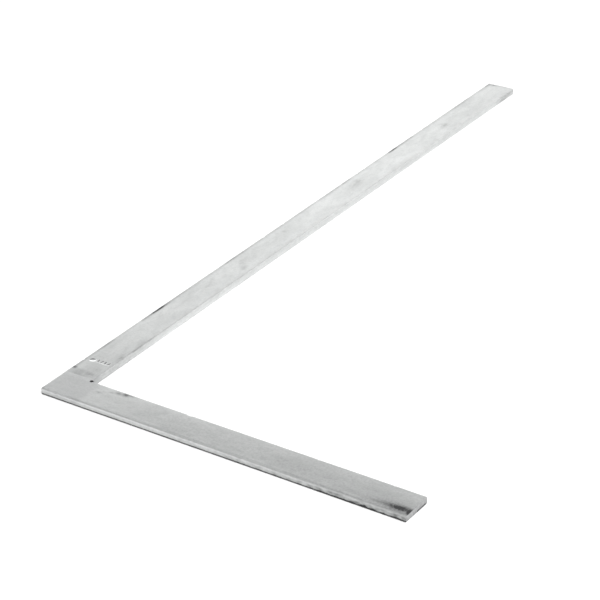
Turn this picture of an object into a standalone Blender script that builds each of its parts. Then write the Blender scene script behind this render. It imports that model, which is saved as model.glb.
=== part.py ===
"""Flat steel square, as metalworkers and builders use it: two flat bars of one section, joined
at a right angle into an L by a groove weld on each face, ground flush with the bars.

The frame is in metres with +Z up. The origin is on the lower face, where the two bars' centre
lines cross. +X runs along the short leg and +Y along the long leg.
"""

import math

import bmesh
import bpy
from mathutils import Matrix

# Driving dimensions. The legs are outside measures, from the outer corner to the leg's end.
LONG_LEG = 0.600
SHORT_LEG = 0.300
BAR_WIDTH = 0.025
BAR_THICKNESS = 0.005

# A rolled bar has round long edges. The edges of a sawn end are only broken with a file.
ROLLED_EDGE_RADIUS = 0.0010
FILED_SHARE = 0.3
EDGE_SEGMENTS = 3

# The corner joint. The long bar butts against the short bar's side, and each face has a
# groove with 45 degree walls, cut half into each bar. FIT_GAP keeps touching solids apart.
FIT_GAP = 0.0003
GROOVE_HALF_WIDTH = 0.0018
ROOT_FLAT = 0.0004

# The hole that lets a work piece's sharp corner, or a burr on it, sit in the inner corner.
RELIEF_RADIUS = 0.0012
RELIEF_SIDES = 32

# How far a cutter stands past what it cuts.
CUT_OVER = 0.002

# Places worked out from the sizes above.
HALF_WIDTH = BAR_WIDTH / 2
SEAM_Y = HALF_WIDTH + FIT_GAP / 2

STEEL = (0.62, 0.63, 0.62, 1.0)
WELD_METAL = (0.58, 0.59, 0.59, 1.0)


def clear_scene():
    for obj in list(bpy.data.objects):
        bpy.data.objects.remove(obj)


def new_collection(name):
    collection = bpy.data.collections.new(name)
    bpy.context.scene.collection.children.link(collection)
    return collection


def zinc_coated(name, colour, roughness):
    """Steel with a thin zinc coat: light grey, metallic and rather dull."""
    material = bpy.data.materials.new(name)
    material.use_nodes = True
    shader = material.node_tree.nodes["Principled BSDF"]
    shader.inputs["Base Color"].default_value = colour
    shader.inputs["Metallic"].default_value = 1.0
    shader.inputs["Roughness"].default_value = roughness
    return material


def box_mesh(name, length, width, height):
    """A box centred on its origin, with its length along X."""
    mesh = bpy.data.meshes.new(name)
    shape = bmesh.new()
    bmesh.ops.create_cube(shape, size=1.0, matrix=Matrix.Diagonal((length, width, height, 1.0)))
    shape.to_mesh(mesh)
    shape.free()
    return mesh


def weight_edges(mesh, round_start, round_end):
    """Gives the long edges a full round, and the edges of each free end a filed one."""
    half_length = max(vertex.co.x for vertex in mesh.vertices)
    weights = mesh.attributes.new("bevel_weight_edge", "FLOAT", "EDGE")
    for edge in mesh.edges:
        ends = [mesh.vertices[i].co for i in edge.vertices]
        if ends[0].x * ends[1].x < 0:
            weight = 1.0
        elif ends[0].x > half_length / 2:
            weight = FILED_SHARE if round_end else 0.0
        else:
            weight = FILED_SHARE if round_start else 0.0
        weights.data[edge.index].value = weight


def flat_bar(name, length, round_start, round_end):
    """A length of flat bar along its own X, resting on z = 0."""
    mesh = box_mesh(name, length, BAR_WIDTH, BAR_THICKNESS)
    weight_edges(mesh, round_start, round_end)
    bar = bpy.data.objects.new(name, mesh)
    rounding = bar.modifiers.new("rounded_edges", "BEVEL")
    rounding.limit_method = "WEIGHT"
    rounding.width = ROLLED_EDGE_RADIUS
    rounding.segments = EDGE_SEGMENTS
    return bar


def cut(obj, cutter):
    boolean = obj.modifiers.new(cutter.name, "BOOLEAN")
    boolean.operation = "DIFFERENCE"
    boolean.object = cutter


def as_cutter(obj, collection):
    collection.objects.link(obj)
    obj.hide_render = True
    obj.display_type = "WIRE"
    return obj


def relief_drill(collection):
    """The drill for the inner corner, upright on the corner itself."""
    mesh = bpy.data.meshes.new("relief_drill")
    shape = bmesh.new()
    bmesh.ops.create_cone(
        shape,
        cap_ends=True,
        segments=RELIEF_SIDES,
        radius1=RELIEF_RADIUS,
        radius2=RELIEF_RADIUS,
        depth=BAR_THICKNESS + 2 * CUT_OVER,
    )
    shape.to_mesh(mesh)
    shape.free()
    drill = bpy.data.objects.new("relief_drill", mesh)
    drill.location = (HALF_WIDTH, HALF_WIDTH, BAR_THICKNESS / 2)
    return as_cutter(drill, collection)


def groove_cutter(name, height, collection):
    """A square bar on its edge along the seam, centred on the face at the given height."""
    side = GROOVE_HALF_WIDTH * math.sqrt(2)
    length = BAR_WIDTH + CUT_OVER
    cutter = bpy.data.objects.new(name, box_mesh(name, length, side, side))
    cutter.location = (HALF_WIDTH - length / 2, SEAM_Y, height)
    cutter.rotation_euler.x = math.radians(45)
    return as_cutter(cutter, collection)


def weld_outline():
    """A weld's section across the seam: its ground face is at y = 0, and its root is below."""
    half_face = GROOVE_HALF_WIDTH - FIT_GAP * math.sqrt(2)
    root = -(half_face - ROOT_FLAT)
    return [(-half_face, 0), (-ROOT_FLAT, root), (ROOT_FLAT, root), (half_face, 0)]


def groove_weld(name, height, roll, collection):
    """The weld metal in one groove, as long as the bar is wide. Its roll turns the root inwards."""
    outline = bpy.data.curves.new(name, "CURVE")
    outline.dimensions = "2D"
    outline.fill_mode = "BOTH"
    outline.extrude = BAR_WIDTH / 2
    points = weld_outline()
    spline = outline.splines.new("POLY")
    spline.points.add(len(points) - 1)
    for point, (x, y) in zip(spline.points, points):
        point.co = (x, y, 0, 1)
    spline.use_cyclic_u = True
    guide = bpy.data.objects.new(name + "_outline", outline)
    collection.objects.link(guide)

    # The outline lies in the YZ plane, its extrusion along X.
    guide.matrix_world = (
        Matrix.Translation((0, SEAM_Y, height))
        @ Matrix.Rotation(roll, 4, "X")
        @ Matrix.Rotation(math.radians(90), 4, "Z")
        @ Matrix.Rotation(math.radians(90), 4, "X")
    )
    bpy.context.view_layer.update()
    evaluated = guide.evaluated_get(bpy.context.evaluated_depsgraph_get())
    mesh = bpy.data.meshes.new_from_object(evaluated)
    shape = bmesh.new()
    shape.from_mesh(mesh)
    bmesh.ops.remove_doubles(shape, verts=shape.verts, dist=0.00001)
    bmesh.ops.recalc_face_normals(shape, faces=shape.faces)
    shape.to_mesh(mesh)
    shape.free()
    mesh.shade_flat()
    weld = bpy.data.objects.new(name, mesh)
    weld.matrix_world = guide.matrix_world
    bpy.data.objects.remove(guide)
    return weld


def make_square():
    clear_scene()
    parts = new_collection("flat_square")
    cutters = new_collection("cutters")

    drill = relief_drill(cutters)
    groove_top = groove_cutter("groove_top_cutter", BAR_THICKNESS, cutters)
    groove_bottom = groove_cutter("groove_bottom_cutter", 0, cutters)

    # The short bar runs through to the outer corner.
    short_blade = flat_bar("short_blade", SHORT_LEG, True, True)
    short_blade.location = (SHORT_LEG / 2 - HALF_WIDTH, 0, BAR_THICKNESS / 2)

    # The long bar starts at the short bar's inner side.
    long_start = HALF_WIDTH + FIT_GAP
    long_end = LONG_LEG - HALF_WIDTH
    long_blade = flat_bar("long_blade", long_end - long_start, False, True)
    long_blade.location = (0, (long_start + long_end) / 2, BAR_THICKNESS / 2)
    long_blade.rotation_euler.z = math.radians(90)

    weld_top = groove_weld("corner_weld_top", BAR_THICKNESS, 0, cutters)
    weld_bottom = groove_weld("corner_weld_bottom", 0, math.radians(180), cutters)

    for blade in (short_blade, long_blade):
        cut(blade, groove_top)
        cut(blade, groove_bottom)
    for piece in (short_blade, long_blade, weld_top, weld_bottom):
        cut(piece, drill)

    frame = bpy.data.objects.new("square_frame", None)
    parts.objects.link(frame)
    finishes = (
        (short_blade, STEEL, 0.42),
        (long_blade, STEEL, 0.40),
        (weld_top, WELD_METAL, 0.48),
        (weld_bottom, WELD_METAL, 0.48),
    )
    for piece, colour, roughness in finishes:
        parts.objects.link(piece)
        piece.parent = frame
        piece.data.materials.append(zinc_coated(piece.name, colour, roughness))


make_square()
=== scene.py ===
import math
import random

import bmesh
import bpy
import numpy as np
from mathutils import Matrix, Vector, noise


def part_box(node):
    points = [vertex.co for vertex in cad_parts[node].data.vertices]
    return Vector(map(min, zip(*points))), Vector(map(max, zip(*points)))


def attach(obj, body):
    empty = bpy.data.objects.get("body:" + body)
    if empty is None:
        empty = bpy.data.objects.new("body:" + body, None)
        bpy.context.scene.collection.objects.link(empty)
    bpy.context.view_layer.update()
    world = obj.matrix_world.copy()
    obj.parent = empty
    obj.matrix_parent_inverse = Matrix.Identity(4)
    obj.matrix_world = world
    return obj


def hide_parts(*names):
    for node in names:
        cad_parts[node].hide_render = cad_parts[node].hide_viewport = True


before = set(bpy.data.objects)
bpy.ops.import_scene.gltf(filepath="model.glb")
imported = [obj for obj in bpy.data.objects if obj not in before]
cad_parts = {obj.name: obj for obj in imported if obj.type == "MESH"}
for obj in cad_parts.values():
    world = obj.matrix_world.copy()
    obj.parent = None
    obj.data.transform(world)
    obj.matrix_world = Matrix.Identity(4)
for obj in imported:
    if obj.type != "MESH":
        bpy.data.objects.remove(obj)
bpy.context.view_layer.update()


# ---------------------------------------------------------------------------------------------
# The long blade: a length of 25 x 5 mm hot-rolled flat bar, sawn off, straightened and zinc
# coated. The mill leaves its long edges round and its faces very slightly uneven. Its near end
# is bevelled on both faces for the weld, and an inspection mark is punched into its upper face.
# ---------------------------------------------------------------------------------------------
MM = 0.001

short_low, short_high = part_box("short_blade")
long_low, long_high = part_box("long_blade")
OUTER_CORNER = Vector((short_low.x, short_low.y, 0.0))
BAR_WIDTH = short_high.y - short_low.y
BAR_THICKNESS = short_high.z - short_low.z
SHORT_LEG = short_high.x - short_low.x
LONG_LEG = long_high.y - short_low.y

# The edges' radii: as rolled, where use has rounded them most, and round the sawn ends.
ROLLED_RADIUS = 0.6 * MM
WORN_RADIUS = 1.15 * MM
SAWN_RADIUS = 0.4 * MM

# How far the faces and sides lie inside the bar's full size, how much they wave and how long
# their waves are, and how much the broad faces fall away toward the inner edge.
FACE_RECESS = 0.015 * MM
FACE_WAVE = 0.03 * MM
FACE_WAVE_ALONG = 13 * MM
FACE_WAVE_ACROSS = 9 * MM
FACE_CROWN = 0.05 * MM
SIDE_WAVE = 0.05 * MM
SIDE_WAVE_ALONG = 45 * MM
RADIUS_SPREAD = 0.12
RADIUS_WAVE_ALONG = 30 * MM

# How finely the surface is cut, and how the flat end faces shrink to their middle.
FACE_STEPS = 44
SIDE_STEPS = 6
ARC_STEPS = 7
END_STEPS = 3
END_FACE_RINGS = (0.75, 0.50, 0.25, 0.08)
STATION_PITCH = 1.25 * MM
NICK_PITCH = 0.3 * MM

# The knocks on the edges, in mm.
NICK_DEPTHS = (0.12, 0.38)
NICK_REACHES = (0.6, 1.8)

# The grinder that dressed the welds passed over the corner as far as a ragged line, and left
# the edges sharper there.
GROUND_RADIUS = 0.4 * MM
GROUND_REACH = 34 * MM
GROUND_FADE = 0.6 * MM
GROUND_RAGGED_BY = 1.5 * MM
GROUND_RAGGED_EVERY = 3.5 * MM

OUTER_LOWER, INNER_LOWER, INNER_UPPER, OUTER_UPPER = range(4)


def wave(seed, *place):
    """Smooth noise from -1 to 1 at a place counted in wavelengths."""
    point = Vector(list(place) + [0.0] * (3 - len(place)))
    return noise.noise(point + Vector((7.31, 3.77, 5.19)) * seed)


def bar_section(radii):
    """The bar's outline as (across, up), across counted from the outer edge. The radii are those
    of the four long edges, in the order in which they are numbered."""
    wide, high = BAR_WIDTH, BAR_THICKNESS
    centres = (
        Vector((radii[OUTER_LOWER], radii[OUTER_LOWER])),
        Vector((wide - radii[INNER_LOWER], radii[INNER_LOWER])),
        Vector((wide - radii[INNER_UPPER], high - radii[INNER_UPPER])),
        Vector((radii[OUTER_UPPER], high - radii[OUTER_UPPER])),
    )
    arcs = []
    for edge, (centre, radius) in enumerate(zip(centres, radii)):
        turns = [math.pi * (1 + (edge + step / ARC_STEPS) / 2) for step in range(ARC_STEPS + 1)]
        arcs.append([centre + Vector((math.cos(t), math.sin(t))) * radius for t in turns])
    outline = []
    for edge, arc in enumerate(arcs):
        steps = (FACE_STEPS, SIDE_STEPS)[edge % 2]
        following = arcs[(edge + 1) % 4][0]
        outline.extend(arc)
        outline.extend(arc[-1].lerp(following, step / steps) for step in range(1, steps))
    return outline


def edge_nicks(seed, start, end, count):
    """Small knocks on the long edges: place along, which edge, depth and reach."""
    draw = random.Random(seed)
    nicks = []
    for _ in range(count):
        along = draw.uniform(start + 4 * MM, end - 2 * MM)
        edge = draw.choice((INNER_LOWER, INNER_UPPER, INNER_UPPER, OUTER_UPPER, OUTER_UPPER,
                            OUTER_LOWER))
        depth = draw.uniform(*NICK_DEPTHS) * MM
        reach = draw.uniform(*NICK_REACHES) * MM
        nicks.append((along, edge, depth, reach))
    return nicks


def bar_stations(start, end, nicks):
    """Places along the bar that get a section, closer together where there is a nick."""
    count = round((end - start) / STATION_PITCH)
    stations = {start + (end - start) * k / count for k in range(count + 1)}
    for along, _, _, reach in nicks:
        near = math.ceil(reach / NICK_PITCH)
        stations.update(along + k * NICK_PITCH for k in range(-near, near + 1))
    inside = sorted(s for s in stations if start <= s <= end - SAWN_RADIUS * 1.5)
    kept = inside[:1]
    for station in inside[1:]:
        if station - kept[-1] > NICK_PITCH / 3:
            kept.append(station)
    return kept


def rolled_bar(seed, start, end, start_sawn, nicks, radius_at):
    """The bar as points in (along, across, up) and faces: sections at its stations, rounded sawn
    ends, uneven faces and nicked edges. Each ring is (along, inset, share): how far its outline
    is set in, and what share of the end face it still encloses."""
    rounding = []
    for step in range(END_STEPS + 1):
        turn = 0.5 * math.pi * step / END_STEPS
        rounding.append((SAWN_RADIUS * (1 - math.sin(turn)), SAWN_RADIUS * (1 - math.cos(turn))))
    rings = [(along, 0.0, 1.0) for along in bar_stations(start, end, nicks)]
    rings.extend((end - back, inset, 1.0) for back, inset in rounding)
    rings.extend((end, SAWN_RADIUS, share) for share in END_FACE_RINGS)
    if start_sawn:
        rings = [r for r in rings if r[0] > start + SAWN_RADIUS * 1.5]
        rings[0:0] = [(start + back, inset, 1.0) for back, inset in reversed(rounding)]
        rings[0:0] = [(start, SAWN_RADIUS, share) for share in reversed(END_FACE_RINGS)]

    points = []
    for along, inset, share in rings:
        outline = bar_section([radius_at(edge, along) for edge in range(4)])
        side_in = inset + SIDE_WAVE * 0.5 * (1 + wave(seed + 5, along / SIDE_WAVE_ALONG))
        for across, up in outline:
            ripple = wave(seed, along / FACE_WAVE_ALONG, across / FACE_WAVE_ACROSS,
                          up / BAR_THICKNESS)
            fall = max(0.0, 2 * across / BAR_WIDTH - 1) ** 2
            face_in = inset + FACE_RECESS + FACE_WAVE * 0.5 * (1 + ripple) + FACE_CROWN * fall
            side_in_all = side_in + (1 - share) * BAR_THICKNESS / 2
            across = BAR_WIDTH / 2 + (across - BAR_WIDTH / 2) * (1 - 2 * side_in_all / BAR_WIDTH)
            height = share * (1 - 2 * face_in / BAR_THICKNESS)
            up = BAR_THICKNESS / 2 + (up - BAR_THICKNESS / 2) * height
            points.append((along, across, up))
    points = np.array(points)

    for along, edge, depth, reach in nicks:
        inner = edge in (INNER_LOWER, INNER_UPPER)
        upper = edge in (INNER_UPPER, OUTER_UPPER)
        corner = np.array((along, BAR_WIDTH * inner, BAR_THICKNESS * upper))
        inward = np.array((0.0, -0.7 if inner else 0.7, -0.7 if upper else 0.7))
        distance = np.linalg.norm(points - corner, axis=1)
        push = depth * np.clip(1 - (distance / (reach + ROLLED_RADIUS / 2)) ** 2, 0, 1) ** 2
        points += push[:, None] * inward

    around = len(points) // len(rings)
    faces = [tuple(range(around))]
    for ring in range(len(rings) - 1):
        for k in range(around):
            first = ring * around
            following = (k + 1) % around
            faces.append((first + k, first + following,
                          first + around + following, first + around + k))
    faces.append(tuple(range(len(points) - around, len(points))))
    return points, faces


def mesh_object(name, points, faces):
    mesh = bpy.data.meshes.new(name)
    mesh.from_pydata([tuple(p) for p in points], [], faces)
    shape = bmesh.new()
    shape.from_mesh(mesh)
    bmesh.ops.recalc_face_normals(shape, faces=shape.faces)
    shape.to_mesh(mesh)
    shape.free()
    piece = bpy.data.objects.new(name, mesh)
    bpy.context.scene.collection.objects.link(piece)
    return piece


def relief_drill():
    """The drill for the inner corner, with the light countersink that takes off the burr."""
    radius, burr, over, sides = 1.2 * MM, 0.15 * MM, 1.0 * MM, 40
    centre = OUTER_CORNER + Vector((BAR_WIDTH, BAR_WIDTH, 0))
    profile = ((-over, radius + burr), (0.0, radius + burr), (burr, radius),
               (BAR_THICKNESS - burr, radius), (BAR_THICKNESS, radius + burr),
               (BAR_THICKNESS + over, radius + burr))
    points = []
    for height, reach in profile:
        for k in range(sides):
            turn = 2 * math.pi * k / sides
            points.append(centre + Vector((reach * math.cos(turn), reach * math.sin(turn), height)))
    faces = [tuple(range(sides)), tuple(range(len(points) - sides, len(points)))]
    for ring in range(len(profile) - 1):
        for k in range(sides):
            first = ring * sides
            following = (k + 1) % sides
            faces.append((first + k, first + following,
                          first + sides + following, first + sides + k))
    return mesh_object("relief_drill", points, faces)


def tool_from(name, shape, place, turn=(0.0, 0.0, 0.0), scale=(1.0, 1.0, 1.0)):
    """A bmesh as a cutting tool, set at a place."""
    mesh = bpy.data.meshes.new(name)
    shape.to_mesh(mesh)
    shape.free()
    tool = bpy.data.objects.new(name, mesh)
    tool.location = place
    tool.rotation_euler = turn
    tool.scale = scale
    bpy.context.scene.collection.objects.link(tool)
    return tool


GROOVE_HALF_WIDTH = 1.8 * MM
SEAM_Y = OUTER_CORNER.y + BAR_WIDTH


def groove_cutter(name, height):
    """A square bar lying on its edge along the seam, which leaves a groove with sloped walls."""
    side = GROOVE_HALF_WIDTH * math.sqrt(2)
    past_the_bar = 2 * MM
    length = BAR_WIDTH + past_the_bar
    shape = bmesh.new()
    bmesh.ops.create_cube(shape, size=1.0, matrix=Matrix.Diagonal((length, side, side, 1)))
    place = (OUTER_CORNER.x + BAR_WIDTH - length / 2, SEAM_Y, height)
    return tool_from(name, shape, place, turn=(math.radians(45), 0, 0))


def cut_away(piece, tools):
    """Cuts all the tools' shapes from the piece and keeps the result as its plain mesh."""
    group = bpy.data.collections.new(piece.name + "_tools")
    bpy.context.scene.collection.children.link(group)
    for tool in tools:
        group.objects.link(tool)
    boolean = piece.modifiers.new("cuts", "BOOLEAN")
    boolean.operation = "DIFFERENCE"
    boolean.operand_type = "COLLECTION"
    boolean.collection = group
    boolean.solver = "MANIFOLD"
    bpy.context.view_layer.update()
    evaluated = piece.evaluated_get(bpy.context.evaluated_depsgraph_get())
    finished = bpy.data.meshes.new_from_object(evaluated)
    piece.modifiers.clear()
    piece.data = finished
    for tool in tools:
        bpy.data.objects.remove(tool)
    bpy.data.collections.remove(group)


SHARPEST_SMOOTH_TURN = math.radians(32)


def smooth_but_for_edges(piece):
    piece.data.shade_smooth()
    piece.data.set_sharp_from_angle(angle=SHARPEST_SMOOTH_TURN)


# The inspection mark, from the outer corner: an oval punch and a row of four plain ticks. Each
# is the mark of a rounded tool, given by its half sizes, and the oval's stays high in its dent.
OVAL_ACROSS, OVAL_ALONG = 6.5 * MM, 48.0 * MM
OVAL_PUNCH = (3.8 * MM, 2.8 * MM, 1.05 * MM)
OVAL_PUNCH_HEIGHT = 0.75 * MM
TICK_ACROSS = [(11.2 + 3.1 * tick) * MM for tick in range(4)]
TICK_ALONG = 48.8 * MM
TICK_LEAN = (0.35, -0.25, 0.15, -0.35)
TICK_PUNCH = (0.55 * MM, 1.7 * MM, 0.45 * MM)


def punch_mark():
    face = BAR_THICKNESS - FACE_RECESS - FACE_WAVE / 2
    shape = bmesh.new()
    bmesh.ops.create_uvsphere(shape, u_segments=96, v_segments=96, radius=1.0)
    place = OUTER_CORNER + Vector((OVAL_ACROSS, OVAL_ALONG, face + OVAL_PUNCH_HEIGHT))
    tools = [tool_from("oval", shape, place, scale=OVAL_PUNCH)]
    for across, lean in zip(TICK_ACROSS, TICK_LEAN):
        shape = bmesh.new()
        bmesh.ops.create_uvsphere(shape, u_segments=24, v_segments=12, radius=1.0)
        place = OUTER_CORNER + Vector((across, TICK_ALONG, face))
        tools.append(tool_from("tick", shape, place, turn=(0, 0, lean), scale=TICK_PUNCH))
    return tools


def fade_past(distance, width):
    """1 well before a line and 0 well past it."""
    return 1 / (1 + math.exp(min(distance / width, 50.0)))


def ground_share(along, across=0.0):
    """How far the grinder dressed a place: 1 by the corner, 0 beyond a ragged line."""
    line = GROUND_REACH + GROUND_RAGGED_BY * wave(17, across / GROUND_RAGGED_EVERY)
    return fade_past(along - line, GROUND_FADE)


def long_leg_radius(edge, along):
    full = WORN_RADIUS if edge == INNER_UPPER else ROLLED_RADIUS
    rolled = full * (1 + RADIUS_SPREAD * wave(20 + edge, along / RADIUS_WAVE_ALONG))
    return rolled + (GROUND_RADIUS - rolled) * ground_share(along)


GAP_BETWEEN_BARS = 0.01 * MM
LONG_START = BAR_WIDTH + GAP_BETWEEN_BARS
long_nicks = edge_nicks(11, LONG_START, LONG_LEG, 16)
points, faces = rolled_bar(1, LONG_START, LONG_LEG, False, long_nicks, long_leg_radius)
on_long_leg = points[:, (1, 0, 2)] + np.array(OUTER_CORNER)
long_blade = mesh_object("long_blade_bar", on_long_leg, faces)
cut_away(long_blade, [relief_drill(), groove_cutter("upper_groove", BAR_THICKNESS),
                      groove_cutter("lower_groove", 0.0), *punch_mark()])
smooth_but_for_edges(long_blade)


# What use and handling leave on a bar, and the painted light and shade laid over it: grime and
# painted shade, rubbed bright metal and painted highlights, the ground corner and the sawn ends.
# Each is a strength from 0 to 1 at every point, which the coat turns into colour.
SIDE_DEPTH = 0.5 * MM
END_DEPTH = 0.3 * MM


class WearAndPaintedLight:
    def __init__(self, piece, order, seed):
        """Reads the points as (along, across, up) from the outer corner. "upper" is 1 on the upper
        face and fades out over its rounded edges, and "broken" breaks dirt, painted shade and
        painted light into blots."""
        flat = np.zeros(len(piece.data.vertices) * 3, np.float32)
        piece.data.vertices.foreach_get("co", flat)
        places = flat.reshape(-1, 3).astype(float) - np.array(OUTER_CORNER)
        self.piece = piece
        self.along, self.across, self.up = places[:, order].T
        self.upper = np.clip((self.up - BAR_THICKNESS) / (0.5 * MM) + 1.4, 0, 1)
        spots = np.stack((self.along / 4.0, self.across / 1.6, self.up / 1.6), axis=1) / MM
        patches = np.stack((self.along / 14.0, self.across / 6.0, self.up / 6.0), axis=1) / MM
        spotted = np.array([wave(seed, *place) for place in spots])
        patched = np.array([wave(seed + 1, *place) for place in patches])
        self.broken = np.clip(0.95 + 0.65 * spotted + 0.5 * patched, 0.25, 1.5)
        self.grime_and_shade = np.zeros(len(places))
        self.rubbed_and_highlight = np.zeros(len(places))
        self.ground = np.array([ground_share(a, b) for a, b in zip(self.along, self.across)])
        self.sawn = np.zeros(len(places))

    def stretch(self, start, end, fade=2.0):
        """1 between two places along the leg, in mm, fading out at both."""
        rise = np.clip((self.along - start * MM) / (fade * MM) + 0.5, 0, 1)
        fall = np.clip((end * MM - self.along) / (fade * MM) + 0.5, 0, 1)
        return rise * fall

    def line(self, across, reach):
        """A line along the upper face, at a distance in mm from the outer side."""
        return np.exp(-((self.across - across * MM) / (reach * MM)) ** 2) * self.upper

    def stains(self, marks, broken=True):
        """Stains on the upper face: along, across, their half sizes in mm, and how dark. A
        smudge is the same, but without breaks."""
        pattern = self.broken if broken else 1.0
        for along, across, half_along, half_across, strength in marks:
            reach = ((self.along - along * MM) / (half_along * MM)) ** 2
            reach += ((self.across - across * MM) / (half_across * MM)) ** 2
            self.grime_and_shade += strength * np.exp(-reach) * self.upper * pattern

    def outer_side(self):
        return np.clip(1 - self.across / SIDE_DEPTH, 0, 1)

    def inner_side(self):
        return np.clip(1 - (BAR_WIDTH - self.across) / SIDE_DEPTH, 0, 1)

    def far_end(self, leg):
        return np.clip(1 - (leg - self.along) / END_DEPTH, 0, 1)

    def foot(self, reach):
        """The lowest part of the sides, against the bench, which the callers darken; on the short
        leg's outer side that is a painted contact shadow.
        """
        return np.exp(-(self.up / (reach * MM)) ** 4)

    def toward_corner(self, across, along):
        """How far a point lies from a mark toward the corner and the inner edge, which is the side
        that gets a painted highlight."""
        return 0.6 * (self.across - across) - 0.8 * (self.along - along)

    def paint(self):
        for name in ("grime_and_shade", "rubbed_and_highlight", "ground", "sawn"):
            layer = self.piece.data.attributes.new(name, "FLOAT", "POINT")
            strengths = np.clip(getattr(self, name), 0, 1).astype(np.float32)
            layer.data.foreach_set("value", strengths)


def relief_hole_shade(wear_and_light):
    """Painted shade in the hole that is drilled in the inner corner, fading over its rim."""
    radius = np.hypot(wear_and_light.along - BAR_WIDTH, wear_and_light.across - BAR_WIDTH)
    unshaded_beyond, fade = 1.45 * MM, 0.2 * MM
    return 0.97 * np.clip((unshaded_beyond - radius) / fade, 0, 1)


wear_and_light = WearAndPaintedLight(long_blade, (1, 0, 2), 60)

# Bare stretches of the outer upper edge, where the zinc has gone and the steel has darkened:
# start and end along the leg in mm, and how dark.
DARK_EDGE_STRETCHES = (
    (34, 78, 0.40), (66, 74, 0.15), (78, 108, 0.18), (109, 138, 0.85), (120, 133, 0.30),
    (138, 160, 0.40), (160, 208, 0.30), (208, 223, 0.60), (223, 262, 0.35), (262, 330, 0.26),
    (330, 366, 0.32), (366, 379, 0.55), (379, 436, 0.24), (436, 449, 0.60), (449, 472, 0.42),
    (472, 531, 0.16), (531, 560, 0.27), (560, 592, 0.16), (592, 600, 0.45),
)
edge_line = 0.72 * wear_and_light.line(1.0, 1.3) * np.clip(wear_and_light.broken, 0.6, 1.2)
for start, end, strength in DARK_EDGE_STRETCHES:
    wear_and_light.grime_and_shade += strength * edge_line * wear_and_light.stretch(start, end)

# Blots on the upper face, most of them beside the ground corner and the inner edge.
LONG_LEG_STAINS = (
    (27.5, 10, 5, 7, 0.16), (33, 12, 1.4, 9, 0.12), (34, 1.6, 1.3, 1.4, 0.60),
    (31.5, 17, 1.2, 4, 0.20), (38, 19, 3, 4, 0.10),
    (58, 22.5, 4, 1.4, 0.30), (62, 21, 3, 1.5, 0.16), (83, 22, 6, 1.8, 0.22),
    (176, 11, 8, 4, 0.10), (211, 18, 3.5, 2.2, 0.14), (217, 13, 2.5, 3, 0.10),
    (219, 9, 4, 3, 0.12), (276, 9, 2, 2, 0.16), (370, 10, 9, 5, 0.11), (378, 9, 3.5, 4, 0.12),
    (505, 13, 5, 3, 0.20), (532, 20, 3, 2, 0.08), (598, 6, 1.2, 3.0, 0.45),
    (599.5, 14, 0.8, 6, 0.30),
)
wear_and_light.stains(LONG_LEG_STAINS)
# Smudges: two of the dark edge's worst places, the ground corner, and faint films over the face.
LONG_LEG_SMUDGES = (
    (131, 1.6, 9, 1.0, 0.60), (442, 1.4, 5, 1.0, 0.45), (28, 9, 4, 8, 0.05),
    (34, 1.4, 1.2, 1.6, 0.35), (20, 12, 22, 14, 0.05), (575, 12, 110, 40, 0.09),
    (54, 15, 30, 12, 0.09),
)
wear_and_light.stains(LONG_LEG_SMUDGES, broken=False)

# The inner upper edge is dirty in places. The outer side is darker at its foot. The inner side is
# painted lighter, a painted light that is strongest at its foot and weakest by the corner, where
# painted shade darkens its upper part.
wear_and_light.grime_and_shade += wear_and_light.line(24.4, 0.8) * wear_and_light.broken * (
    0.30 * wear_and_light.stretch(54, 62, 4) + 0.30 * wear_and_light.stretch(66, 82, 6)
    + 0.20 * wear_and_light.stretch(70, 95, 12) + 0.10 * wear_and_light.stretch(380, 405, 20))
corner_shade = wear_and_light.stretch(0, 72, 50)
wear_and_light.grime_and_shade += wear_and_light.outer_side() * (0.12 + 0.75 * wear_and_light.foot(1.2)) * wear_and_light.broken
wear_and_light.grime_and_shade += wear_and_light.inner_side() * wear_and_light.broken * (
    0.04 + 0.10 * wear_and_light.foot(1.0) + 0.30 * wear_and_light.stretch(574, 600, 14))
# Painted shade on the upper part of the inner side by the corner.
wear_and_light.grime_and_shade += wear_and_light.inner_side() * corner_shade * (0.07 + 0.12 * wear_and_light.up / BAR_THICKNESS)
wear_and_light.grime_and_shade += 0.30 * wear_and_light.far_end(LONG_LEG) * wear_and_light.broken
wear_and_light.sawn = wear_and_light.far_end(LONG_LEG)
low_down = np.clip(1 - wear_and_light.up / (1.9 * MM), 0, 1)
# Painted light on the inner side, strongest at its foot.
wear_and_light.rubbed_and_highlight += wear_and_light.inner_side() * (0.22 + 0.62 * low_down) * (1 - 0.8 * corner_shade)

# The ticks' bottoms get painted shade and the near side of each a painted highlight; the oval gets
# a painted highlight on its pad inside and painted shade on its far side.
in_a_dent = (wear_and_light.up < BAR_THICKNESS - 0.12 * MM) & (wear_and_light.up > BAR_THICKNESS / 2)
beside_row = np.abs(wear_and_light.along - TICK_ALONG) < 2.4 * MM
for across in TICK_ACROSS:
    by_tick = (np.abs(wear_and_light.across - across) < 1.5 * MM) & beside_row
    tick_highlight = by_tick & ~in_a_dent & (wear_and_light.toward_corner(across, TICK_ALONG) > 0.6 * MM)
    wear_and_light.grime_and_shade += 0.70 * (by_tick & in_a_dent)
    wear_and_light.rubbed_and_highlight += 0.65 * tick_highlight * wear_and_light.upper * wear_and_light.broken
oval_length_to_width = 1.3
from_oval = np.hypot((wear_and_light.across - OVAL_ACROSS) / oval_length_to_width,
                     wear_and_light.along - OVAL_ALONG)
toward_corner = wear_and_light.toward_corner(OVAL_ACROSS, OVAL_ALONG)
wear_and_light.rubbed_and_highlight += (from_oval < 2.4 * MM) * (toward_corner > -0.1 * MM) * wear_and_light.upper
wear_and_light.grime_and_shade += 0.60 * (from_oval < 1.9 * MM) * (toward_corner < -0.2 * MM) * wear_and_light.upper
# Painted shade in the relief hole.
wear_and_light.grime_and_shade += relief_hole_shade(wear_and_light)
wear_and_light.paint()


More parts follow.
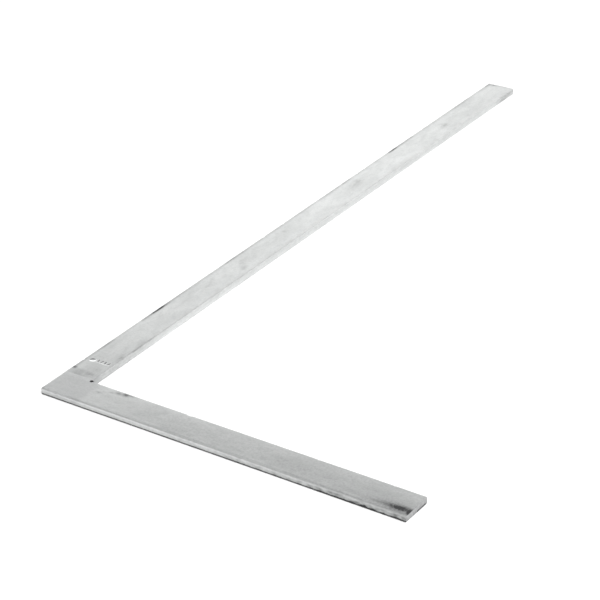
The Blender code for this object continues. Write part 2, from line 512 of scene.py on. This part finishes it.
def link(tree, source, output, target, socket):
    tree.links.new(source.outputs[output], target.inputs[socket])


def new_node(tree, kind, **settings):
    node = tree.nodes.new("ShaderNode" + kind)
    for name, value in settings.items():
        setattr(node, name, value)
    return node


def grain(tree, sizes, detail, roughness=0.55, turn=0.0):
    """Noise in object space, whose grain size along X, Y and Z is given in millimetres. A turn
    swings the grain round the upright."""
    place = new_node(tree, "TexCoord")
    scale = new_node(tree, "Mapping", vector_type="TEXTURE")
    scale.inputs["Rotation"].default_value = (0.0, 0.0, turn)
    scale.inputs["Scale"].default_value = [size * MM for size in sizes]
    texture = new_node(tree, "TexNoise")
    texture.inputs["Scale"].default_value = 1.0
    texture.inputs["Detail"].default_value = detail
    texture.inputs["Roughness"].default_value = roughness
    link(tree, place, "Object", scale, "Vector")
    link(tree, scale, "Vector", texture, "Vector")
    return texture.outputs["Fac"]


def spread(tree, value, low, high, to_low=0.0, to_high=1.0):
    node = new_node(tree, "MapRange", interpolation_type="SMOOTHSTEP")
    tree.links.new(value, node.inputs["Value"])
    node.inputs["From Min"].default_value = low
    node.inputs["From Max"].default_value = high
    node.inputs["To Min"].default_value = to_low
    node.inputs["To Max"].default_value = to_high
    return node.outputs["Result"]


def figure(tree, operation, first, second):
    node = new_node(tree, "Math", operation=operation)
    for socket, value in zip(node.inputs, (first, second)):
        if isinstance(value, float):
            socket.default_value = value
        else:
            tree.links.new(value, socket)
    return node.outputs[0]


def blend(tree, share, first, second):
    node = new_node(tree, "Mix", data_type="RGBA")
    tree.links.new(share, node.inputs["Factor"])
    for socket, value in ((node.inputs[6], first), (node.inputs[7], second)):
        if isinstance(value, tuple):
            socket.default_value = (*value, 1.0)
        else:
            tree.links.new(value, socket)
    return node.outputs[2]


def strength_of(tree, name):
    return new_node(tree, "Attribute", attribute_name=name).outputs["Fac"]


ZINC_LIGHT = (0.63, 0.64, 0.635)
ZINC_DARK = (0.535, 0.545, 0.54)
ZINC_SPOT = (0.42, 0.43, 0.43)
ZINC_RUBBED_AND_HIGHLIGHT = (0.93, 0.94, 0.94)
GROUND_STEEL = (0.44, 0.445, 0.45)
SAWN_STEEL = (0.40, 0.40, 0.405)
GRIME_AND_SHADE = (0.030, 0.030, 0.031)


def zinc_coat(name, along_axis):
    """Zinc on rolled steel: faintly cloudy light grey with fine lengthwise roll marks, a smoother
    ground finish by the corner, saw marks on the ends, bright rubbed edges with painted highlights,
    and dark grime with painted shade."""
    material = bpy.data.materials.new(name)
    material.use_nodes = True
    tree = material.node_tree
    shader = tree.nodes["Principled BSDF"]
    shader.inputs["Specular IOR Level"].default_value = 0.02

    def lengthwise(along, across):
        sizes = [across, across, across]
        sizes[along_axis] = along
        return sizes

    clouds = grain(tree, lengthwise(22, 9), 3.0)
    flecks = grain(tree, (1.7, 1.7, 1.7), 4.0, 0.65)
    roll_marks = grain(tree, lengthwise(45, 0.55), 4.0, 0.6)
    mottling = grain(tree, lengthwise(7.0, 4.0), 3.0, 0.65)
    pores = grain(tree, (0.30, 0.30, 0.30), 2.0)
    grinder_marks = grain(tree, (2.6, 0.30, 2.6), 3.0)
    saw_marks = grain(tree, (0.5, 0.5, 4.0), 2.0)
    scratches = [grain(tree, (30.0, 0.10, 30.0), 1.0, turn=turn) for turn in (0.35, 1.15, -0.75)]

    coat = blend(tree, spread(tree, clouds, 0.30, 0.70, 0.15, 0.75), ZINC_LIGHT, ZINC_DARK)
    coat = blend(tree, spread(tree, roll_marks, 0.52, 0.75, 0.0, 0.40), coat, ZINC_DARK)

    scored = figure(tree, "MAXIMUM", figure(tree, "MAXIMUM", scratches[0], scratches[1]),
                    scratches[2])
    scored = spread(tree, scored, 0.74, 0.80)
    coat = blend(tree, figure(tree, "MULTIPLY", scored, 0.28), coat, ZINC_RUBBED_AND_HIGHLIGHT)

    ground = strength_of(tree, "ground")
    dressed = blend(tree, spread(tree, grinder_marks, 0.3, 0.7), GROUND_STEEL, ZINC_DARK)
    coat = blend(tree, figure(tree, "MULTIPLY", ground, 0.75), coat, dressed)
    coat = blend(tree, spread(tree, mottling, 0.45, 0.70, 0.0, 0.30), coat, ZINC_SPOT)
    coat = blend(tree, spread(tree, flecks, 0.45, 0.70, 0.0, 0.32), coat, ZINC_SPOT)

    rubbed_and_highlight = figure(tree, "MULTIPLY", strength_of(tree, "rubbed_and_highlight"),
                    spread(tree, roll_marks, 0.3, 0.7, 1.0, 0.7))
    coat = blend(tree, rubbed_and_highlight, coat, ZINC_RUBBED_AND_HIGHLIGHT)
    sawn = strength_of(tree, "sawn")
    cut_face = blend(tree, spread(tree, saw_marks, 0.35, 0.65), SAWN_STEEL, ZINC_DARK)
    coat = blend(tree, sawn, coat, cut_face)

    dirt_and_shade = figure(tree, "MULTIPLY", strength_of(tree, "grime_and_shade"),
                    spread(tree, flecks, 0.30, 0.62, 0.90, 1.10))
    dirt_and_shade = figure(tree, "MINIMUM", dirt_and_shade, 0.97)
    coat = blend(tree, dirt_and_shade, coat, GRIME_AND_SHADE)
    tree.links.new(coat, shader.inputs["Base Color"])
    tree.links.new(spread(tree, dirt_and_shade, 0.0, 0.8, 0.85, 0.0), shader.inputs["Metallic"])

    roughness = spread(tree, clouds, 0.3, 0.7, 0.31, 0.36)
    roughness = figure(tree, "ADD", roughness, figure(tree, "MULTIPLY", dirt_and_shade, 0.40))
    roughness = figure(tree, "ADD", roughness, figure(tree, "MULTIPLY", sawn, 0.12))
    tree.links.new(roughness, shader.inputs["Roughness"])

    height = figure(tree, "ADD", figure(tree, "MULTIPLY", roll_marks, 0.6),
                    figure(tree, "MULTIPLY", pores, 0.5))
    height = figure(tree, "ADD", height, figure(tree, "MULTIPLY", flecks, 0.5))
    height = figure(tree, "SUBTRACT", height, figure(tree, "MULTIPLY", scored, 1.2))
    saw_height = figure(tree, "MULTIPLY", figure(tree, "MULTIPLY", saw_marks, sawn), 2.5)
    height = figure(tree, "ADD", height, saw_height)
    bump = new_node(tree, "Bump")
    bump.inputs["Strength"].default_value = 0.4
    bump.inputs["Distance"].default_value = 0.03 * MM
    tree.links.new(height, bump.inputs["Height"])
    link(tree, bump, "Normal", shader, "Normal")
    return material


def finish(piece, node, along_axis):
    """Coats a piece, stands it in for its CAD solid and fixes it to the one rigid body."""
    piece.data.materials.clear()
    piece.data.materials.append(zinc_coat("zinc_" + piece.name, along_axis))
    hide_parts(node)
    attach(piece, "root")


finish(long_blade, "long_blade", along_axis=1)


# ---------------------------------------------------------------------------------------------
# The short blade: the same flat bar, cut to the short leg's full length. It runs through to the
# outer corner, so its sawn end is the first 25 mm of the long leg's outer edge. Half of each
# weld groove is ground into its inner side.
# ---------------------------------------------------------------------------------------------
def short_leg_radius(edge, along):
    uneven = 1 + RADIUS_SPREAD * wave(30 + edge, along / RADIUS_WAVE_ALONG)
    if edge == OUTER_UPPER:
        return WORN_RADIUS * uneven
    rolled = ROLLED_RADIUS * uneven
    if edge == OUTER_LOWER:
        return rolled
    past_weld, fade = 3 * MM, 1.5 * MM
    welded = fade_past(along - BAR_WIDTH - past_weld, fade)
    return rolled + (GROUND_RADIUS - rolled) * welded


# Knocks on the outer upper edge by the corner: place along, depth and reach in mm.
CORNER_KNOCKS = ((6, 0.22, 1.4), (13, 0.30, 1.8), (19, 0.20, 1.2), (26, 0.28, 1.6),
                 (33, 0.30, 1.5), (46, 0.22, 1.6))
short_nicks = edge_nicks(23, 0.0, SHORT_LEG, 8)
for along, depth, reach in CORNER_KNOCKS:
    short_nicks.append((along * MM, OUTER_UPPER, depth * MM, reach * MM))
points, faces = rolled_bar(2, 0.0, SHORT_LEG, True, short_nicks, short_leg_radius)
short_blade = mesh_object("short_blade_bar", points + np.array(OUTER_CORNER), faces)
cut_away(short_blade, [relief_drill(), groove_cutter("upper_groove", BAR_THICKNESS),
                       groove_cutter("lower_groove", 0.0)])
smooth_but_for_edges(short_blade)

# Stains on the upper face: a trail of marks beside the inner edge and a few specks.
SHORT_LEG_STAINS = (
    (39, 16, 1.8, 1.2, 0.16), (43, 18.5, 3, 1, 0.12), (52, 22, 2.6, 1.4, 0.20),
    (57.5, 22.6, 2.6, 1.9, 0.25), (62, 23.6, 4, 0.9, 0.30),
    (113.5, 6, 2, 0.8, 0.12), (120, 7, 3, 0.8, 0.08), (0.6, 2.4, 0.9, 1.1, 0.50),
)
# Smudges: the trail's darkest marks, faint films over the whole face, the black heel, which
# thickens toward the end, and last a spot on the outer corner.
SHORT_LEG_SMUDGES = (
    (39.5, 16.3, 3, 1.1, 0.14), (46.5, 20.2, 2, 1, 0.24), (52, 21.8, 2.8, 1.3, 0.40),
    (57.8, 22.5, 2.6, 1.7, 0.48), (112, 6, 42, 14, 0.17), (240, 9, 110, 18, 0.36),
    (60, 12, 120, 40, 0.03), (8, 12, 40, 20, 0.045), (288, 12, 18, 10, 0.08),
    (266, 4.6, 12, 2.0, 0.12), (281, 5.0, 10, 2.8, 0.28), (290, 5.4, 7, 3.6, 0.43),
    (295.5, 5.8, 4.5, 3.6, 0.42),
    (299.5, 4.8, 1.3, 3.0, 0.85), (0.5, 0.9, 1.3, 1.1, 0.40),
)
wear_and_light = WearAndPaintedLight(short_blade, (0, 1, 2), 70)
wear_and_light.stains(SHORT_LEG_STAINS)
wear_and_light.stains(SHORT_LEG_SMUDGES, broken=False)

# The outer upper edge is scuffed bright by the corner, and thin dirty lines run beside it that
# grow stronger away from the corner.
from_corner = np.clip(wear_and_light.along / (150 * MM), 0, 1)
wear_and_light.rubbed_and_highlight += 0.45 * wear_and_light.line(0.8, 0.7) * wear_and_light.broken * wear_and_light.stretch(4, 24, 8)
wear_and_light.grime_and_shade += from_corner * wear_and_light.broken * (
    0.10 * wear_and_light.line(1.5, 0.5) + 0.10 * wear_and_light.line(2.2, 0.35)
    + 0.22 * wear_and_light.line(0.9, 0.5) * wear_and_light.stretch(225, 300, 40))

# The outer side is darker toward the bottom and toward the heel, partly dirt and partly painted
# shade; a near-black line at its foot is a painted contact shadow, and a band along its upper part
# is a painted highlight.
heel_dirt_and_shade = np.clip(wear_and_light.along / SHORT_LEG, 0, 1) ** 2
lower_down = np.clip(1 - wear_and_light.up / BAR_THICKNESS, 0, 1)
upper_part = np.exp(-((wear_and_light.up - 4.0 * MM) / (0.7 * MM)) ** 2)
wear_and_light.grime_and_shade += wear_and_light.outer_side() * wear_and_light.broken * (
    0.02 + 0.08 * lower_down + 0.44 * heel_dirt_and_shade * wear_and_light.broken * (1 - 0.35 * upper_part))
# A near-black line painted at the foot as the contact shadow.
wear_and_light.grime_and_shade += wear_and_light.outer_side() * 1.10 * wear_and_light.foot(1.20)
wear_and_light.grime_and_shade += wear_and_light.outer_side() * wear_and_light.broken * 0.35 * wear_and_light.foot(2.2) * wear_and_light.stretch(255, 300, 24)
# Painted highlight along the upper part of the outer side.
wear_and_light.rubbed_and_highlight += 0.27 * wear_and_light.outer_side() * upper_part * (1 - heel_dirt_and_shade)
wear_and_light.grime_and_shade += wear_and_light.inner_side() * (0.10 + 0.20 * wear_and_light.foot(1.0)) * wear_and_light.broken

# The sawn heel is darker low down, most of all at the foot of its inner half.
far_end = wear_and_light.far_end(SHORT_LEG)
near_end = np.clip(1 - wear_and_light.along / END_DEPTH, 0, 1)
wear_and_light.grime_and_shade += far_end * wear_and_light.broken * (0.10 + 0.25 * lower_down)
in_inner_half = np.abs(wear_and_light.across - 18 * MM) < 5 * MM
wear_and_light.grime_and_shade += far_end * 0.75 * wear_and_light.foot(1.3) * in_inner_half
wear_and_light.sawn = np.maximum(far_end, near_end)
# Painted shade in the relief hole.
wear_and_light.grime_and_shade += relief_hole_shade(wear_and_light)
wear_and_light.paint()
finish(short_blade, "short_blade", along_axis=0)


# ---------------------------------------------------------------------------------------------
# The two corner welds: filler metal laid in the groove on each face, then ground down until it
# is level with the bars. What shows is a band about 4 mm wide with a wandering edge.
# ---------------------------------------------------------------------------------------------
WELD_HALF_WIDTH = 2.1 * MM
WELD_WANDER = 0.14
WELD_WANDER_EVERY = 2.6 * MM
WELD_PROUD = 0.012 * MM
WELD_RIPPLE = 0.006 * MM
WELD_RIPPLE_EVERY = 1.8 * MM
WELD_TOE_DROP = 2.2
WELD_END_ROUND = 0.45 * MM
WELD_END_INSET = 0.03 * MM
WELD_ROOT_SHARE = 0.98
WELD_LENGTH_STEPS = 110
WELD_WIDTH_STEPS = 12


def weld_bead(name, seed, upper):
    """A bead as two skins that meet at its toes: the ground face, and the root below it."""
    face = BAR_THICKNESS - FACE_RECESS - FACE_WAVE / 2
    points, faces = [], []
    for skin in (0, 1):
        for i in range(WELD_LENGTH_STEPS + 1):
            across = BAR_WIDTH * i / WELD_LENGTH_STEPS
            edge_in = max(0.0, WELD_END_ROUND - across) / WELD_END_ROUND
            drop = WELD_END_ROUND * (1 - math.sqrt(max(0.0, 1 - edge_in ** 2)))
            for j in range(WELD_WIDTH_STEPS + 1):
                u = 2 * j / WELD_WIDTH_STEPS - 1
                wander = 1 + WELD_WANDER * wave(seed + (u > 0), across / WELD_WANDER_EVERY)
                offset = WELD_HALF_WIDTH * wander * u
                if skin == 0:
                    ripple = WELD_RIPPLE * wave(seed + 3, across / WELD_RIPPLE_EVERY, u)
                    crown = WELD_PROUD * (1 - WELD_TOE_DROP * u ** 4)
                    up = face + crown + ripple * (1 - u * u)
                else:
                    toe = face - WELD_PROUD * (WELD_TOE_DROP - 1)
                    up = toe - GROOVE_HALF_WIDTH * WELD_ROOT_SHARE * (1 - abs(u))
                up = min(up, BAR_THICKNESS) - drop * (skin == 0)
                across_in = max(across, WELD_END_INSET)
                points.append((across_in, BAR_WIDTH + offset, up if upper else BAR_THICKNESS - up))
    width, length = WELD_WIDTH_STEPS + 1, WELD_LENGTH_STEPS + 1
    skin_size = width * length
    for skin in (0, 1):
        for i in range(WELD_LENGTH_STEPS):
            for j in range(WELD_WIDTH_STEPS):
                first = skin * skin_size + i * width + j
                faces.append((first, first + 1, first + width + 1, first + width))
    rim = [i * width for i in range(length)]
    rim += [(length - 1) * width + j for j in range(1, width)]
    rim += [i * width + width - 1 for i in range(length - 2, -1, -1)]
    rim += list(range(width - 2, 0, -1))
    for k, here in enumerate(rim):
        following = rim[(k + 1) % len(rim)]
        faces.append((here, following, skin_size + following, skin_size + here))
    weld = mesh_object(name, np.array(points) + np.array(OUTER_CORNER), faces)
    cut_away(weld, [relief_drill()])
    smooth_but_for_edges(weld)
    return weld


for name, node, seed, upper in (("upper_weld_bead", "corner_weld_top", 41, True),
                                ("lower_weld_bead", "corner_weld_bottom", 47, False)):
    weld = weld_bead(name, seed, upper)
    wear_and_light = WearAndPaintedLight(weld, (0, 1, 2), 80 + seed)
    wear_and_light.ground[:] = 1.0
    # Painted shade in the relief hole.
    wear_and_light.grime_and_shade += relief_hole_shade(wear_and_light)
    wear_and_light.paint()
    finish(weld, node, along_axis=0)


# ---------------------------------------------------------------------------------------------
# The table: a plain white sheet, larger than any view of the square needs.
# ---------------------------------------------------------------------------------------------
TABLE_SIZE = 60.0
TABLE_DROP = 0.01 * MM
TABLE_WHITE = (0.93, 0.93, 0.93, 1)

bpy.ops.mesh.primitive_plane_add(size=TABLE_SIZE, location=(0, 0, -TABLE_DROP))
table_top = bpy.context.object
table_top.name = "table_top"
sheet = bpy.data.materials.new("white_sheet")
sheet.use_nodes = True
paper = sheet.node_tree.nodes["Principled BSDF"]
paper.inputs["Base Color"].default_value = TABLE_WHITE
paper.inputs["Roughness"].default_value = 0.9
table_top.data.materials.append(sheet)


# ---------------------------------------------------------------------------------------------
# The light: a pale studio, dimmer above than at the height of the table, with a long white
# screen standing behind the square, a weak light to its right and one soft box high in front.
# ---------------------------------------------------------------------------------------------
# Brightness of the studio by the sine of the height above the horizon.
STUDIO_TONES = ((0.00, 1.00), (0.45, 1.00), (0.53, 0.48), (0.60, 0.42), (0.75, 0.54), (1.00, 1.00))

room = bpy.data.worlds.new("pale_studio")
room.use_nodes = True
walls = room.node_tree
direction = new_node(walls, "TexCoord")
height = new_node(walls, "SeparateXYZ")
tones = new_node(walls, "ValToRGB")
link(walls, direction, "Generated", height, "Vector")
link(walls, height, "Z", tones, "Fac")
stops = tones.color_ramp.elements
while len(stops) < len(STUDIO_TONES):
    stops.new(0.5)
for stop, (sine, tone) in zip(stops, STUDIO_TONES):
    stop.position = sine
    stop.color = (tone, tone, tone, 1.0)
link(walls, tones, "Color", walls.nodes["Background"], "Color")
bpy.context.scene.world = room


MIDDLE = Vector((0.1, 0.2, 0.0))


def soft_light(name, azimuth, elevation, distance, size, power):
    """A rectangular light at a bearing from the middle of the square, facing it. The angles are
    in degrees, the distance and size in metres and the power in watts."""
    lamp = bpy.data.lights.new(name, "AREA")
    lamp.shape = "RECTANGLE"
    lamp.size, lamp.size_y = size
    lamp.energy = power
    turn, rise = math.radians(azimuth), math.radians(elevation)
    outward = Vector((math.cos(rise) * math.cos(turn), math.cos(rise) * math.sin(turn),
                      math.sin(rise)))
    stand = bpy.data.objects.new(name, lamp)
    stand.location = MIDDLE + outward * distance
    stand.rotation_euler = outward.to_track_quat("Z", "Y").to_euler()
    bpy.context.scene.collection.objects.link(stand)


soft_light("white_screen", 122, 18, 3.0, (3.0, 1.3), 11.0)
soft_light("side_light", 74, 38, 2.5, (2.0, 1.1), 8.0)
soft_light("soft_box", -30, 55, 2.6, (0.9, 0.9), 44.0)


# ---------------------------------------------------------------------------------------------
# The camera: a long lens, a little above the table, looking along the long leg from the right.
# ---------------------------------------------------------------------------------------------
AIM = Vector((0.06576, 0.18654, 0))
AZIMUTH = math.radians(-52.870)
ELEVATION = math.radians(28.900)
DISTANCE = 1.56345
TILT = math.radians(-3.573)
FOCAL_LENGTH = 127.10
SENSOR_WIDTH = 36.0

lens = bpy.data.cameras.new("camera")
lens.sensor_width = SENSOR_WIDTH
lens.lens = FOCAL_LENGTH
lens.clip_start, lens.clip_end = 0.05, 50.0
camera = bpy.data.objects.new("camera", lens)
outward = Vector((math.cos(ELEVATION) * math.cos(AZIMUTH),
                  math.cos(ELEVATION) * math.sin(AZIMUTH), math.sin(ELEVATION)))
level = outward.to_track_quat("Z", "Y").to_matrix()
camera.rotation_euler = (level @ Matrix.Rotation(TILT, 3, "Z")).to_euler()
camera.location = AIM + outward * DISTANCE
bpy.context.scene.collection.objects.link(camera)
bpy.context.scene.camera = camera
bpy.context.scene.view_settings.view_transform = "Standard"

bpy.context.view_layer.update()
